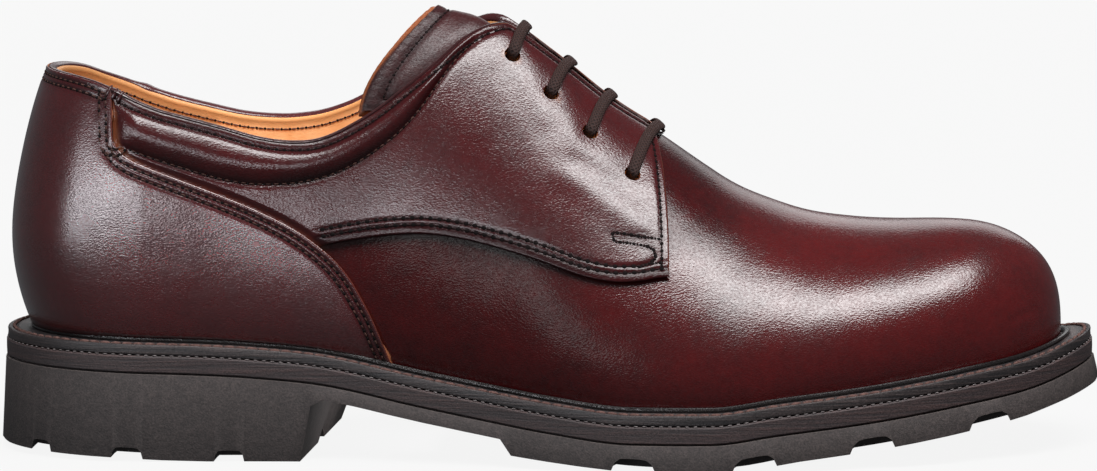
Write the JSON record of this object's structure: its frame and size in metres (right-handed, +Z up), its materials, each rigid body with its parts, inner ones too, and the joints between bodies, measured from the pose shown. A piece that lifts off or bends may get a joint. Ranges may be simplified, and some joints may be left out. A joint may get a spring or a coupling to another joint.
{
  "type": "lace-up derby shoe",
  "caption": "Plain-toe lace-up derby shoe for the right foot in dark burgundy leather, with a stitched welt and a lugged rubber sole",
  "frame": {"origin": "middle of the shoe's box, on the floor it stands on", "axes": "+X to the toe, +Y to the medial side of the foot, +Z up"},
  "size_m": [0.3056, 0.1132, 0.1221],
  "materials": {
    "outsole_rubber": "matte moulded rubber",
    "midsole_rubber": "trimmed rubber edge",
    "welt_leather": "dark waxed leather edge",
    "insole_leather": "natural tan leather",
    "upper_leather": "burnished burgundy leather",
    "counter_leather": "burnished burgundy leather",
    "quarter_leather": "burnished burgundy leather",
    "tongue_leather": "burnished burgundy leather",
    "lace_cotton": "dark waxed cotton braid"
  },
  "bodies": {
    "root": {"outsole": "outsole_rubber", "midsole": "midsole_rubber", "welt": "welt_leather", "insole": "insole_leather", "upper": "upper_leather", "heel_counter": "counter_leather", "quarter_lateral": "quarter_leather", "quarter_medial": "quarter_leather", "tongue": "tongue_leather", "lace_bar_1": "lace_cotton", "lace_bar_2": "lace_cotton", "lace_bar_3": "lace_cotton", "lace_bar_4": "lace_cotton"}
  },
  "joints": []
}
